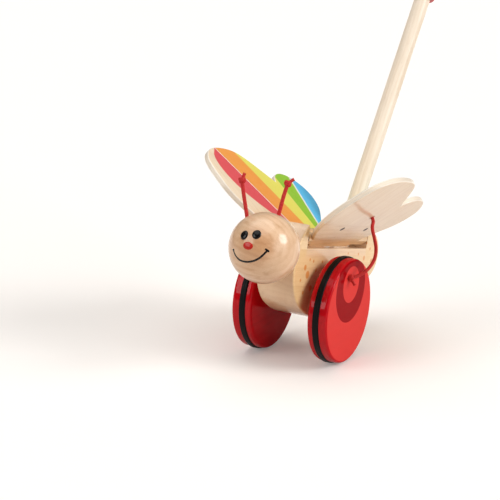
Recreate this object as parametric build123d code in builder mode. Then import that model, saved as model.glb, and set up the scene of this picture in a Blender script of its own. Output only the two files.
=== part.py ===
import os
from math import acos, atan2, cos, degrees, hypot, pi, radians, sin, tan

from build123d import *

os.makedirs("parts", exist_ok=True)

# Push-along butterfly: a wooden body on a turning axle, two wings that a cord from each wheel flaps,
# and a long two-part stick. Millimetres and degrees, +Z up, nose towards -Y, axle along X,
# origin on the floor under the middle of the axle.

# Cuts
overrun = 1.0

# Wheels, axle and spacers
tyre_radius = 39.1
tyre_width = 5.0
tyre_round = 1.2
tyre_seat_radius = 36.0
tyre_middle = 29.3
tread_radius = 38.2
wheel_inner_face = 22.4
wheel_outer_face = 38.0
wheel_edge_round = 2.5
wheel_bore_depth = 11.0
axle_radius = 4.0
axle_running_clearance = 0.08
axle_end_gap = 0.3
spacer_radius = 8.0
spacer_bore_clearance = 0.1
spacer_side_gap = 0.3

# Body block, its outline seen from the side, and the axle's place in it
body_pitch = 14.5
axle_back = 3.2
axle_drop = 0.9
body_width = 30.0
body_edge_round = 1.5
front_radius = 34.5
front_back = 16.3
front_rise = 29.0
front_low_angle = 245.0
tail_radius = 17.5
tail_reach = 97.0
tail_rise = 36.2
tail_low_angle = -60.0
belly_behind = 15.0
belly_drop = 10.4
front_wall = 16.0
rear_wall = 25.6
notch_floor = 41.2

# Head
head_radius = 25.0
head_flat_depth = 1.8
head_bearing = 169.8
head_dowel_radius = 4.0
head_dowel_length = 28.0
head_dowel_end_gap = 0.5

# Antennae
antenna_cord_radius = 1.35
antenna_hole_clearance = 0.15
antenna_hole_depth = 5.0
antenna_exit = 4.5
antenna_turn = 24.0
antenna_knot_radius = 2.8
antenna_knot_seat = 1.5
antenna_tail_length = 2.6
antenna_tail_radius = 1.2

# Wings, measured in their own plane: out from the hinge line, and back along it
wing_tilt = 40.0
wing_thickness = 4.0
wing_drop = 1.5
wing_span = 82.75
wing_chord = 136.5
wing_root = -5.2
wing_middle_gap = 34.8
wing_root_front_gap = 13.8
wing_root_length = 68.3
wing_shoulder = 7.9
wing_shoulder_gap = 0.4
wing_edge_round = 0.8

# Wing hinges
hinge_inset = 4.0
hinge_rise = 48.0
hinge_bar_radius = 4.2
hinge_front_gap = 1.2
hinge_rear_gap = 1.0
hinge_heel_reach = 4.6
hinge_leaf_thickness = 2.0
hinge_leaf_reach = 24.8
hinge_pin_radius = 1.5
hinge_running_clearance = 0.07
hinge_pin_front_depth = 6.0
hinge_pin_rear_depth = 14.0
plug_radius = 2.3

# Wing screws, set in the leaf from below
screw_out = 18.8
screw_front_gap = 14.0
screw_rear_gap = 12.3
screw_head_radius = 2.2
screw_head_height = 0.8
screw_shank_radius = 0.9
screw_length = 3.2
screw_slot_width = 0.5
screw_slot_depth = 0.3

# Flap cords: a glued end in the wheel, a knot on its face, a knot in a blind hole under the wing
cord_radius = 1.25
crank_radius = 26.5
crank_angle = 96.0
cord_hole_radius = 1.4
cord_hole_depth = 7.0
wheel_knot_radius = 2.8
wheel_knot_rise = 1.4
wheel_knot_seat = 1.5
wheel_knot_tail_length = 5.0
wheel_knot_tail_angle = 250.0
wheel_knot_tail_lean = 35.0
wheel_knot_tail_radius = 1.0
wing_hole_out = 35.3
wing_hole_back = 14.3
wing_hole_radius = 2.2
wing_hole_depth = 2.6
wing_knot_radius = 2.0
wing_knot_height = 1.3

# Stick
stick_slope = 51.5
stick_ahead = 13.8
rod_radius = 6.0
socket_depth = 32.0
lower_rod_length = 240.0
connector_lap = 26.0
connector_length = 55.0
connector_radius = 9.0
connector_web = 4.0
connector_rim_round = 1.5
upper_rod_length = 266.0
grip_lap = 80.0
grip_length = 95.0
grip_radius = 10.5
grip_collar_radius = 12.5
grip_collar_length = 6.0
grip_collar_round = 1.4
grip_end_round = 6.0
grip_seat_gap = 1.0

# Shares that shape the outlines. Wing: share of the span out, share of the chord back.
fore_lobe_shares = [
    (0.163, -0.301),
    (0.262, -0.3465),
    (0.3825, -0.3825),
    (0.501, -0.402),
    (0.6375, -0.399),
    (0.855, -0.366),
    (0.976, -0.256),
    (1.0, -0.11),
    (0.958, 0.026),
    (0.807, 0.143),
]
lobe_notch_shares = (0.619, 0.253)
hind_lobe_shares = [
    (0.71, 0.319),
    (0.728, 0.418),
    (0.65, 0.531),
    (0.48, 0.597),
    (0.311, 0.564),
    (0.19, 0.4835),
    (0.085, 0.416),
    (0.003, 0.38),
]

# Antennae, angles from the body's upright: its place on the head, its lean there and its tail's lean
antenna_angles = {
    "right": (15.0, 8.4, 46.0),
    "left": (-37.0, -16.0, 14.0),
}

axle_height = tyre_radius
pitch = radians(body_pitch)

# Places along the body, back from the axle
notch_front = front_wall - front_back - front_radius
notch_rear = tail_reach - rear_wall
stick_back = notch_rear - stick_ahead
hinge_out = body_width / 2 - hinge_inset
wing_middle = notch_front + wing_middle_gap
wing_root_front = notch_front + wing_root_front_gap
wing_root_rear = wing_root_front + wing_root_length
screw_places = [
    (screw_out, wing_root_front + screw_front_gap),
    (screw_out, wing_root_rear - screw_rear_gap),
]

# Places along the stick, up from the notch floor
connector_start = lower_rod_length - connector_lap
upper_rod_start = lower_rod_length + connector_web
upper_rod_end = upper_rod_start + upper_rod_length
grip_start = upper_rod_end - grip_lap
grip_end = grip_start + grip_length

# The wheels' frame, seen along the axle: X is back, Y is up
axle_frame = Plane(origin=(0, 0, axle_height), x_dir=(0, 1, 0), z_dir=(1, 0, 0))
# The body leans back with its nose up, and the axle crosses it behind and below its origin
body_origin = Vector(
    0,
    -axle_back * cos(pitch) + axle_drop * sin(pitch),
    axle_height + axle_back * sin(pitch) + axle_drop * cos(pitch),
)
# In the body's frame X is across, Y is back along it and Z is up from it
body_frame = Plane(origin=body_origin, x_dir=(1, 0, 0), z_dir=(0, sin(pitch), cos(pitch)))
# The same frame seen from the side: X is back along the body, Y is up from it
side_frame = Plane(origin=body_origin, x_dir=(0, cos(pitch), -sin(pitch)), z_dir=(1, 0, 0))

parts = {}


def keep(name, part):
    """Labels a finished piece and writes it."""
    part.label = name
    export_step(part, f"parts/{name}.step")
    parts[name] = part


def in_body(across, back, up):
    """A point of the body's frame, in the toy's own frame."""
    return body_frame.from_local_coords(Vector(across, back, up))


def heading(angle):
    """The unit vector of the side outline that lies at this angle."""
    return (cos(radians(angle)), sin(radians(angle)))


def rounded_path(points, name, radius):
    """A cord's centre line: straight runs joined by tangent arcs as large as the runs allow."""
    points = [Vector(*p) for p in points]
    runs = [(b - a).length for a, b in zip(points, points[1:])]
    radii = []
    for i in range(1, len(points) - 1):
        turn = (points[i] - points[i - 1]).get_angle(points[i + 1] - points[i])
        radii.append(0.45 * min(runs[i - 1], runs[i]) / tan(radians(turn) / 2))
    print(name, "radii", [round(r, 1) for r in radii], "diameter", 2 * radius)
    return FilletPolyline(*points, radius=radii)


def report_tube(name, tube, line, radius):
    """Prints a cord's volume beside its section times its length."""
    length = sum(edge.length for edge in line.edges())
    print(name, "length", round(length, 1), "volume share", round(tube.volume / (pi * radius**2 * length), 4))


# Body outline: a round front and a round tail, a straight back and a belly curve
front_centre = (-front_back, front_rise)
tail_centre = (tail_reach - tail_radius, tail_rise)
centre_gap = hypot(tail_centre[0] - front_centre[0], tail_centre[1] - front_centre[1])
centre_slope = atan2(tail_centre[1] - front_centre[1], tail_centre[0] - front_centre[0])
back_angle = degrees(centre_slope + acos((front_radius - tail_radius) / centre_gap))
body_top = front_rise + front_radius


def on_circle(centre, radius, angle):
    """The point of a circle of the side outline at this angle."""
    return (centre[0] + radius * cos(radians(angle)), centre[1] + radius * sin(radians(angle)))


with BuildPart() as body_blank:
    with BuildSketch(side_frame.offset(-body_width / 2)) as body_outline:
        with BuildLine():
            CenterArc(front_centre, front_radius, back_angle, front_low_angle - back_angle)
            Spline(
                on_circle(front_centre, front_radius, front_low_angle),
                (belly_behind, -belly_drop),
                on_circle(tail_centre, tail_radius, tail_low_angle),
                tangents=[heading(front_low_angle + 90), (1, 0), heading(tail_low_angle + 90)],
            )
            CenterArc(tail_centre, tail_radius, tail_low_angle, back_angle - tail_low_angle)
            Line(
                on_circle(tail_centre, tail_radius, back_angle),
                on_circle(front_centre, front_radius, back_angle),
            )
        make_face()
    extrude(amount=body_width)
    fillet(body_blank.faces().filter_by(Axis.X).edges(), radius=body_edge_round)

# Places that several pieces share
notch_length = notch_rear - notch_front
head_direction = heading(head_bearing)
head_distance = front_radius + head_radius - head_flat_depth
head_centre = in_body(
    0, front_centre[0] + head_distance * head_direction[0], front_centre[1] + head_distance * head_direction[1]
)
front_middle = in_body(0, *front_centre)
# The head's frame: Z points forward out of the body, X across and Y up the face
head_frame = Plane(origin=head_centre, x_dir=(1, 0, 0), z_dir=head_centre - front_middle)
head_seat = head_frame.offset(head_flat_depth - head_radius)
stick_angle = radians(stick_slope)
stick_frame = Plane(
    origin=in_body(0, stick_back, notch_floor),
    x_dir=(1, 0, 0),
    z_dir=(0, cos(stick_angle), sin(stick_angle)),
)
tilt = radians(wing_tilt)
hinge_line = in_body(hinge_out, 0, hinge_rise)
# The right wing's frame: X out from the hinge line, Y back along it, Z up from the wing
wing_frame = Plane(
    origin=hinge_line,
    x_dir=in_body(cos(tilt), 0, sin(tilt)) - in_body(0, 0, 0),
    z_dir=in_body(-sin(tilt), 0, cos(tilt)) - in_body(0, 0, 0),
)
# A plane across the hinge line, for the bar, the pin and their bores
hinge_section = Plane(
    origin=hinge_line, x_dir=(1, 0, 0), z_dir=in_body(0, 1, 0) - in_body(0, 0, 0)
)
# The same plane turned with the wing: X out from the hinge line, Y down from the wing
wing_section = Plane(origin=hinge_line, x_dir=wing_frame.x_dir, z_dir=wing_frame.y_dir)
bar_front = notch_front + hinge_front_gap
bar_rear = notch_rear - hinge_rear_gap
pin_front = notch_front - hinge_pin_front_depth
pin_rear = notch_rear + hinge_pin_rear_depth
axle_end = wheel_inner_face + wheel_bore_depth - axle_end_gap
wing_underside = -wing_drop - wing_thickness / 2


def beside_hinge(back):
    """The section plane across the hinge line, this far back along the body."""
    return hinge_section.offset(back)


# Body block
with BuildPart() as body_block:
    add(body_blank.part)
    with BuildSketch(side_frame) as notch:
        with Locations((notch_front + notch_length / 2, (notch_floor + body_top + overrun) / 2)):
            Rectangle(notch_length, body_top + overrun - notch_floor)
    extrude(amount=body_width, both=True, mode=Mode.SUBTRACT)
    with BuildSketch(axle_frame) as axle_bore:
        Circle(axle_radius + axle_running_clearance)
    extrude(amount=body_width, both=True, mode=Mode.SUBTRACT)
    with BuildSketch(head_seat) as dowel_hole:
        Circle(head_dowel_radius)
    extrude(amount=-head_dowel_length / 2 - head_dowel_end_gap, mode=Mode.SUBTRACT)
    with BuildSketch(stick_frame) as stick_socket:
        Circle(rod_radius)
    extrude(amount=-socket_depth, mode=Mode.SUBTRACT)
    with BuildSketch(stick_frame) as stick_mouth:
        Circle(rod_radius)
    extrude(amount=rod_radius, mode=Mode.SUBTRACT)
    for side in (1, -1):
        across = side * hinge_out - hinge_out
        with BuildSketch(beside_hinge(pin_front)) as pin_hole:
            with Locations((across, 0)):
                Circle(hinge_pin_radius)
        extrude(amount=pin_rear - pin_front, mode=Mode.SUBTRACT)
        with BuildSketch(beside_hinge(pin_rear)) as plug_hole:
            with Locations((across, 0)):
                Circle(plug_radius)
        extrude(amount=tail_reach + overrun - pin_rear, mode=Mode.SUBTRACT)
keep("body_block", body_block.part)

with BuildPart() as hinge_pin_plugs:
    for side in (1, -1):
        with BuildSketch(beside_hinge(pin_rear)) as plug_section:
            with Locations((side * hinge_out - hinge_out, 0)):
                Circle(plug_radius)
        extrude(amount=tail_reach + overrun - pin_rear)
    add(body_blank.part, mode=Mode.INTERSECT)
keep("hinge_pin_plugs", hinge_pin_plugs.part)

# Head and its dowel
def leaning(angle):
    """The way up from the body that leans sideways by this angle, in the antennae's plane."""
    lean = radians(angle)
    turn = radians(antenna_turn)
    return in_body(sin(lean) * cos(turn), sin(lean) * sin(turn), cos(lean)) - in_body(0, 0, 0)


antenna_frames = {
    name: Plane(origin=head_centre + leaning(place) * head_radius, z_dir=leaning(lean))
    for name, (place, lean, _) in antenna_angles.items()
}

with BuildPart(head_frame) as head_ball:
    Sphere(head_radius)
    split(bisect_by=head_seat, keep=Keep.TOP)
    with BuildSketch(head_seat) as head_dowel_hole:
        Circle(head_dowel_radius)
    extrude(amount=head_dowel_length / 2 + head_dowel_end_gap, mode=Mode.SUBTRACT)
    for frame in antenna_frames.values():
        with BuildSketch(frame.offset(-antenna_hole_depth)) as antenna_hole:
            Circle(antenna_cord_radius + antenna_hole_clearance)
        extrude(amount=antenna_hole_depth + overrun, mode=Mode.SUBTRACT)
keep("head_ball", head_ball.part)

with BuildPart() as head_dowel:
    with BuildSketch(head_seat) as head_dowel_section:
        Circle(head_dowel_radius)
    extrude(amount=head_dowel_length / 2, both=True)
keep("head_dowel", head_dowel.part)

# Antennae: each point is across, back and up from the head's centre, in the body's frame
antenna_routes = {
    "right": [(7.5, 3.1, 38.5), (8.7, 3.8, 45.2)],
    "left": [(-17.9, -8.0, 35.0), (-19.6, -9.3, 43.0)],
}
head_place = body_frame.to_local_coords(head_centre)
for name, frame in antenna_frames.items():
    hole_end = frame.offset(-antenna_hole_depth).origin
    mouth = frame.offset(antenna_exit).origin
    route = [in_body(*(head_place + Vector(*p))) for p in antenna_routes[name]]
    with BuildPart() as antenna_cord:
        with BuildLine() as antenna_line:
            rounded_path([hole_end, mouth, *route], f"{name} antenna", antenna_cord_radius)
        with BuildSketch(Plane(origin=hole_end, z_dir=frame.z_dir)) as antenna_section:
            Circle(antenna_cord_radius)
        sweep()
    report_tube(name, antenna_cord.part, antenna_line.line, antenna_cord_radius)
    keep(f"{name}_antenna_cord", antenna_cord.part)

    end = Plane(origin=route[1], z_dir=route[1] - route[0])
    tail_way = leaning(antenna_angles[name][2])
    knot_middle = end.offset(antenna_knot_seat).origin
    with BuildPart(Plane(origin=knot_middle, z_dir=end.z_dir)) as antenna_knot:
        Sphere(antenna_knot_radius)
        with BuildSketch(Plane(origin=knot_middle, z_dir=tail_way)) as antenna_tail:
            Circle(antenna_tail_radius)
        extrude(amount=antenna_knot_radius + antenna_tail_length)
        split(bisect_by=end, keep=Keep.TOP)
    keep(f"{name}_antenna_knot", antenna_knot.part)

# Axle
with BuildPart() as axle:
    with BuildSketch(axle_frame) as axle_section:
        Circle(axle_radius)
    extrude(amount=axle_end, both=True)
keep("axle", axle.part)

# Pieces that come in pairs are made for the right side and mirrored for the left
pairs = {}
turning_frame = Plane(origin=(0, 0, axle_height), x_dir=(1, 0, 0), z_dir=(0, -1, 0))
turning_axis = Axis((0, 0, axle_height), (1, 0, 0))
crank = Vector(
    wheel_outer_face,
    crank_radius * cos(radians(crank_angle)),
    axle_height + crank_radius * sin(radians(crank_angle)),
)
wheel_face = Plane(origin=crank, x_dir=(0, 1, 0), z_dir=(1, 0, 0))

with BuildPart() as wheel:
    with BuildSketch(turning_frame) as wheel_profile:
        with BuildLine():
            Polyline(
                (wheel_inner_face, axle_radius),
                (wheel_inner_face, tread_radius),
                (wheel_outer_face, tread_radius),
                (wheel_outer_face, 0),
                (wheel_inner_face + wheel_bore_depth, 0),
                (wheel_inner_face + wheel_bore_depth, axle_radius),
                close=True,
            )
        make_face()
        fillet(wheel_profile.vertices().group_by(Axis.Y)[-1], radius=wheel_edge_round)
        with Locations((tyre_middle, (tread_radius + overrun + tyre_seat_radius) / 2)):
            Rectangle(tyre_width, tread_radius + overrun - tyre_seat_radius, mode=Mode.SUBTRACT)
    revolve(axis=turning_axis)
    with BuildSketch(wheel_face) as wheel_cord_hole:
        Circle(cord_hole_radius)
    extrude(amount=-cord_hole_depth, mode=Mode.SUBTRACT)
pairs["wheel"] = wheel

with BuildPart() as tyre:
    with BuildSketch(turning_frame) as tyre_profile:
        with Locations((tyre_middle, (tyre_radius + tyre_seat_radius) / 2)):
            Rectangle(tyre_width, tyre_radius - tyre_seat_radius)
        fillet(tyre_profile.vertices().group_by(Axis.Y)[-1], radius=tyre_round)
    revolve(axis=turning_axis)
pairs["tyre"] = tyre

with BuildPart() as axle_spacer:
    with BuildSketch(axle_frame.offset(body_width / 2 + spacer_side_gap)) as spacer_section:
        Circle(spacer_radius)
        Circle(axle_radius + spacer_bore_clearance, mode=Mode.SUBTRACT)
    extrude(amount=wheel_inner_face - body_width / 2 - 2 * spacer_side_gap)
pairs["axle_spacer"] = axle_spacer


# Wings
def wing_point(shares):
    """A point of the wing's outline from its shares of the span and the chord."""
    return (shares[0] * wing_span, wing_middle + shares[1] * wing_chord)


# Beside the body the wing's front edge runs behind the notch's front wall before it swings forward
fore_points = [
    (wing_root, wing_root_front),
    (wing_shoulder, notch_front + wing_shoulder_gap),
    *[wing_point(shares) for shares in fore_lobe_shares],
    wing_point(lobe_notch_shares),
]
hind_points = [
    wing_point(lobe_notch_shares),
    *[wing_point(shares) for shares in hind_lobe_shares],
    (wing_root, wing_root_rear),
]
# The wing's root is the hinge's heel in its full thickness, then its leaf under the plate
heel_width = hinge_heel_reach - wing_root + overrun
leaf_width = hinge_leaf_reach - wing_root + overrun

with BuildPart() as wing_blank:
    with BuildSketch(wing_frame.offset(wing_underside)) as wing_outline:
        with BuildLine():
            Spline(*fore_points)
            Spline(*hind_points)
            Line(hind_points[-1], fore_points[0])
        make_face()
    extrude(amount=wing_thickness)
    rims = wing_blank.faces().filter_by(wing_frame).edges().filter_by(GeomType.LINE, reverse=True)
    fillet(rims, radius=wing_edge_round)

with BuildPart() as wing_foot:
    with BuildSketch(wing_frame.offset(wing_underside)) as heel_section:
        with Locations((hinge_heel_reach - heel_width / 2, 0)):
            Rectangle(heel_width, 2 * wing_chord)
    extrude(amount=wing_thickness)
    with BuildSketch(wing_frame.offset(wing_underside)) as leaf_section:
        with Locations((hinge_leaf_reach - leaf_width / 2, 0)):
            Rectangle(leaf_width, 2 * wing_chord)
    extrude(amount=hinge_leaf_thickness)
    add(wing_blank.part, mode=Mode.INTERSECT)

with BuildPart() as wing_plate:
    add(wing_blank.part)
    add(wing_foot.part, mode=Mode.SUBTRACT)
    with BuildSketch(wing_frame.offset(wing_underside)) as screw_pilots:
        with Locations(*screw_places):
            Circle(screw_shank_radius)
    extrude(amount=screw_length, mode=Mode.SUBTRACT)
    with BuildSketch(wing_frame.offset(wing_underside)) as wing_cord_hole:
        with Locations((wing_hole_out, wing_middle + wing_hole_back)):
            Circle(wing_hole_radius)
    extrude(amount=wing_hole_depth, mode=Mode.SUBTRACT)
pairs["wing_plate"] = wing_plate

with BuildPart() as hinge_bar:
    with BuildSketch(wing_section.offset(bar_front)) as bar_section:
        Circle(hinge_bar_radius)
        with Locations((0, hinge_bar_radius - wing_underside)):
            Rectangle(2 * hinge_bar_radius, 2 * hinge_bar_radius, mode=Mode.SUBTRACT)
    extrude(amount=bar_rear - bar_front)
    add(wing_foot.part)
    with BuildSketch(beside_hinge(bar_front - overrun)) as bar_bore:
        Circle(hinge_pin_radius + hinge_running_clearance)
    extrude(amount=bar_rear - bar_front + 2 * overrun, mode=Mode.SUBTRACT)
    with BuildSketch(wing_frame.offset(wing_underside)) as screw_seats:
        with Locations(*screw_places):
            Circle(screw_head_radius)
    extrude(amount=screw_head_height, mode=Mode.SUBTRACT)
    with BuildSketch(wing_frame.offset(wing_underside)) as screw_holes:
        with Locations(*screw_places):
            Circle(screw_shank_radius)
    extrude(amount=wing_thickness, mode=Mode.SUBTRACT)
pairs["hinge_bar"] = hinge_bar

with BuildPart() as hinge_pin:
    with BuildSketch(beside_hinge(pin_front)) as hinge_pin_section:
        Circle(hinge_pin_radius)
    extrude(amount=pin_rear - pin_front)
pairs["hinge_pin"] = hinge_pin

with BuildPart() as wing_screws:
    with BuildSketch(wing_frame.offset(wing_underside)) as screw_heads:
        with Locations(*screw_places):
            Circle(screw_head_radius)
    extrude(amount=screw_head_height)
    with BuildSketch(wing_frame.offset(wing_underside)) as screw_shanks:
        with Locations(*screw_places):
            Circle(screw_shank_radius)
    extrude(amount=screw_length)
    with BuildSketch(wing_frame.offset(wing_underside)) as screw_slots:
        with Locations(*screw_places):
            Rectangle(2 * screw_head_radius, screw_slot_width)
    extrude(amount=screw_slot_depth, mode=Mode.SUBTRACT)
pairs["wing_screws"] = wing_screws

# Right flap cord: from the knot on the wheel's face, out and back, then up into the wing
hole_mouth = wing_frame.from_local_coords(Vector(wing_hole_out, wing_middle + wing_hole_back, wing_underside))
hole_up = wing_frame.z_dir
cord_end = hole_mouth + hole_up * (wing_hole_depth - wing_knot_height)
knot_centre = crank + Vector(wheel_knot_rise, 0, 0)
flap_cord_route = [
    (43.8, 1.2, 66.8),
    (48.4, 5.7, 70.5),
    (50.6, 12.5, 76.7),
    (49.8, 16.5, 84.3),
    (46.6, 18.8, 91.5),
    (42.2, 23.5, 97.3),
]
first_way = Vector(*flap_cord_route[0]) - knot_centre
cord_start = knot_centre + first_way.normalized() * wheel_knot_seat
# The last point on the route lies below the hole, so that the cord goes straight in
cord_below_hole = hole_mouth - hole_up * (2 * cord_radius)

with BuildPart() as flap_cord:
    with BuildLine() as flap_cord_line:
        rounded_path(
            [cord_start, *flap_cord_route, cord_below_hole, cord_end], "flap cord", cord_radius
        )
    with BuildSketch(Plane(origin=cord_start, z_dir=first_way)) as flap_cord_section:
        Circle(cord_radius)
    sweep()
report_tube("flap cord", flap_cord.part, flap_cord_line.line, cord_radius)
pairs["flap_cord"] = flap_cord

tail_turn = radians(wheel_knot_tail_angle)
tail_lean = radians(wheel_knot_tail_lean)
tail_way = Vector(sin(tail_lean), cos(tail_lean) * cos(tail_turn), cos(tail_lean) * sin(tail_turn))

with BuildPart(Plane(origin=knot_centre, z_dir=first_way)) as wheel_knot:
    Sphere(wheel_knot_radius)
    with BuildSketch(Plane(origin=knot_centre, z_dir=tail_way)) as wheel_knot_tail:
        Circle(wheel_knot_tail_radius)
    extrude(amount=wheel_knot_tail_length)
    split(bisect_by=Plane(origin=cord_start, z_dir=first_way), keep=Keep.BOTTOM)
    split(bisect_by=wheel_face, keep=Keep.TOP)
    with BuildSketch(wheel_face.offset(-cord_hole_depth)) as glued_end:
        Circle(cord_hole_radius)
    extrude(amount=cord_hole_depth)
pairs["wheel_knot"] = wheel_knot

with BuildPart() as wing_knot:
    with BuildSketch(Plane(origin=cord_end, z_dir=hole_up)) as wing_knot_section:
        Circle(wing_knot_radius)
    extrude(amount=wing_knot_height)
pairs["wing_knot"] = wing_knot

for name, right in pairs.items():
    keep(f"right_{name}", right.part)
    with BuildPart() as left:
        mirror(right.part, about=Plane.YZ)
    keep(f"left_{name}", left.part)

# Stick: every piece lies along the stick's own line, from the notch floor upward

with BuildPart() as lower_rod:
    with BuildSketch(stick_frame.offset(-socket_depth)) as lower_rod_section:
        Circle(rod_radius)
    extrude(amount=socket_depth + lower_rod_length)
keep("lower_rod", lower_rod.part)

with BuildPart() as connector_sleeve:
    with BuildSketch(stick_frame.offset(connector_start)) as sleeve_section:
        Circle(connector_radius)
    extrude(amount=connector_length)
    rims = connector_sleeve.edges().filter_by(GeomType.CIRCLE)
    fillet(rims, radius=connector_rim_round)
    with BuildSketch(stick_frame.offset(connector_start - overrun)) as lower_bore:
        Circle(rod_radius)
    extrude(amount=lower_rod_length - connector_start + overrun, mode=Mode.SUBTRACT)
    with BuildSketch(stick_frame.offset(upper_rod_start)) as upper_bore:
        Circle(rod_radius)
    extrude(amount=connector_start + connector_length - upper_rod_start + overrun, mode=Mode.SUBTRACT)
keep("connector_sleeve", connector_sleeve.part)

with BuildPart() as upper_rod:
    with BuildSketch(stick_frame.offset(upper_rod_start)) as upper_rod_section:
        Circle(rod_radius)
    extrude(amount=upper_rod_length)
keep("upper_rod", upper_rod.part)

with BuildPart() as grip:
    with BuildSketch(stick_frame.offset(grip_start)) as grip_section:
        Circle(grip_radius)
    extrude(amount=grip_length)
    fillet(grip.edges().filter_by(GeomType.CIRCLE).sort_by(Axis.Z)[-1], radius=grip_end_round)
    with BuildSketch(stick_frame.offset(grip_start)) as collar_section:
        Circle(grip_collar_radius)
    extrude(amount=grip_collar_length)
    rims = grip.edges().filter_by(GeomType.CIRCLE).filter_by(lambda e: e.radius > grip_radius)
    fillet(rims, radius=grip_collar_round)
    with BuildSketch(stick_frame.offset(grip_start - overrun)) as grip_bore:
        Circle(rod_radius)
    extrude(amount=upper_rod_end + grip_seat_gap - grip_start + overrun, mode=Mode.SUBTRACT)
keep("grip", grip.part)

print(len(parts), "nodes")
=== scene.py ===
from math import cos, pi, radians, sin

import bmesh
import bpy
from mathutils import Matrix, Vector


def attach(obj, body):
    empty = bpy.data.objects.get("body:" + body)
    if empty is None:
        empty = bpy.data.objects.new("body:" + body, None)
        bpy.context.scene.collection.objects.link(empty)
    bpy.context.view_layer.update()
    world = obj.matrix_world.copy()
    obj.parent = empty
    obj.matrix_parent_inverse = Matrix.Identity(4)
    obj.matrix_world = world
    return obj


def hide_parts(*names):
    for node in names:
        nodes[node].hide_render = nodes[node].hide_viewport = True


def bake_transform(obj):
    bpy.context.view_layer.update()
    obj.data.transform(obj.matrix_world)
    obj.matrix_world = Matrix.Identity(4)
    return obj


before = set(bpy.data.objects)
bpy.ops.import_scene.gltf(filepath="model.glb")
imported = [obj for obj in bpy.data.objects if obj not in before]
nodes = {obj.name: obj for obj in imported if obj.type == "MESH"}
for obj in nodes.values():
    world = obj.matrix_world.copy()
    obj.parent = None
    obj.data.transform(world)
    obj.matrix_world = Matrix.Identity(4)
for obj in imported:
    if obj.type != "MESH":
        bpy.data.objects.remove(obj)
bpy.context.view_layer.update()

# Millimetres are used for the toy's own sizes
mm = 0.001

# The wheels stand on the floor, and the body leans back with its nose up
pitch = radians(14.5)
wheel_radius = 39.1
wheel_face = 38.0
wheel_middle = 30.2
tyre_middle = 29.3
body_half_width = 15.0
body_edge_round = 1.5
axle_back, axle_drop = 3.2, 0.9
axle_centre = Vector((0, 0, wheel_radius))
across_way = Vector((1, 0, 0))
back_way = Vector((0, cos(pitch), -sin(pitch)))
up_way = Vector((0, sin(pitch), cos(pitch)))
body_ways = (across_way, back_way, up_way)
level_ways = (across_way, Vector((0, 1, 0)), Vector((0, 0, 1)))
body_origin = axle_centre - back_way * axle_back + up_way * axle_drop


def in_body(across, back, up):
    """A point of the body's own frame, in the toy's frame."""
    return body_origin + across_way * across + back_way * back + up_way * up


def way_in_body(across, back, up):
    """A direction of the body's own frame."""
    return in_body(across, back, up) - body_origin


head_radius = 25.0
head_centre = in_body(0, -73.09, 39.22)

# Each wing's hinge line: a point on it, the wing's way out from it, and the way up from the wing
wing_tilt = radians(40.0)
hinge_out, hinge_rise = 11.0, 48.0
wing_top, wing_underside = 0.5, -3.5
wing_lines = {
    side: (
        in_body(sign * hinge_out, 0, hinge_rise),
        way_in_body(sign * cos(wing_tilt), 0, sin(wing_tilt)),
        way_in_body(-sign * sin(wing_tilt), 0, cos(wing_tilt)),
    )
    for side, sign in (("right", 1), ("left", -1))
}


# Camera

look_azimuth, look_elevation, look_roll = 26.62, 16.84, 1.9
look_at = Vector((0, -0.05527, 0.10067))
look_distance = 1.5
focal_pixels = 2150.0
image_pixels = 500.0
image_middle = (270.0, 240.0)


def camera_ways():
    """The camera's right, up and back directions."""
    azimuth, elevation, roll = radians(look_azimuth), radians(look_elevation), radians(look_roll)
    back = Vector((sin(azimuth) * cos(elevation), -cos(azimuth) * cos(elevation), sin(elevation)))
    level = Vector((cos(azimuth), sin(azimuth), 0))
    upright = back.cross(level)
    right = level * cos(roll) + upright * sin(roll)
    return right, upright * cos(roll) - level * sin(roll), back


def place_camera():
    right, up, back = camera_ways()
    data = bpy.data.cameras.new("camera")
    data.sensor_width = 36.0
    data.lens = 36.0 * focal_pixels / image_pixels
    data.shift_x = (image_pixels / 2 - image_middle[0]) / image_pixels
    data.shift_y = (image_middle[1] - image_pixels / 2) / image_pixels
    data.clip_start, data.clip_end = 0.01, 20.0
    camera = bpy.data.objects.new("camera", data)
    bpy.context.scene.collection.objects.link(camera)
    place = Matrix((right, up, back)).transposed().to_4x4()
    place.translation = look_at + back * look_distance
    camera.matrix_world = place
    bpy.context.scene.camera = camera


place_camera()
bpy.context.scene.view_settings.view_transform = "Standard"


# Node recipes


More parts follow.
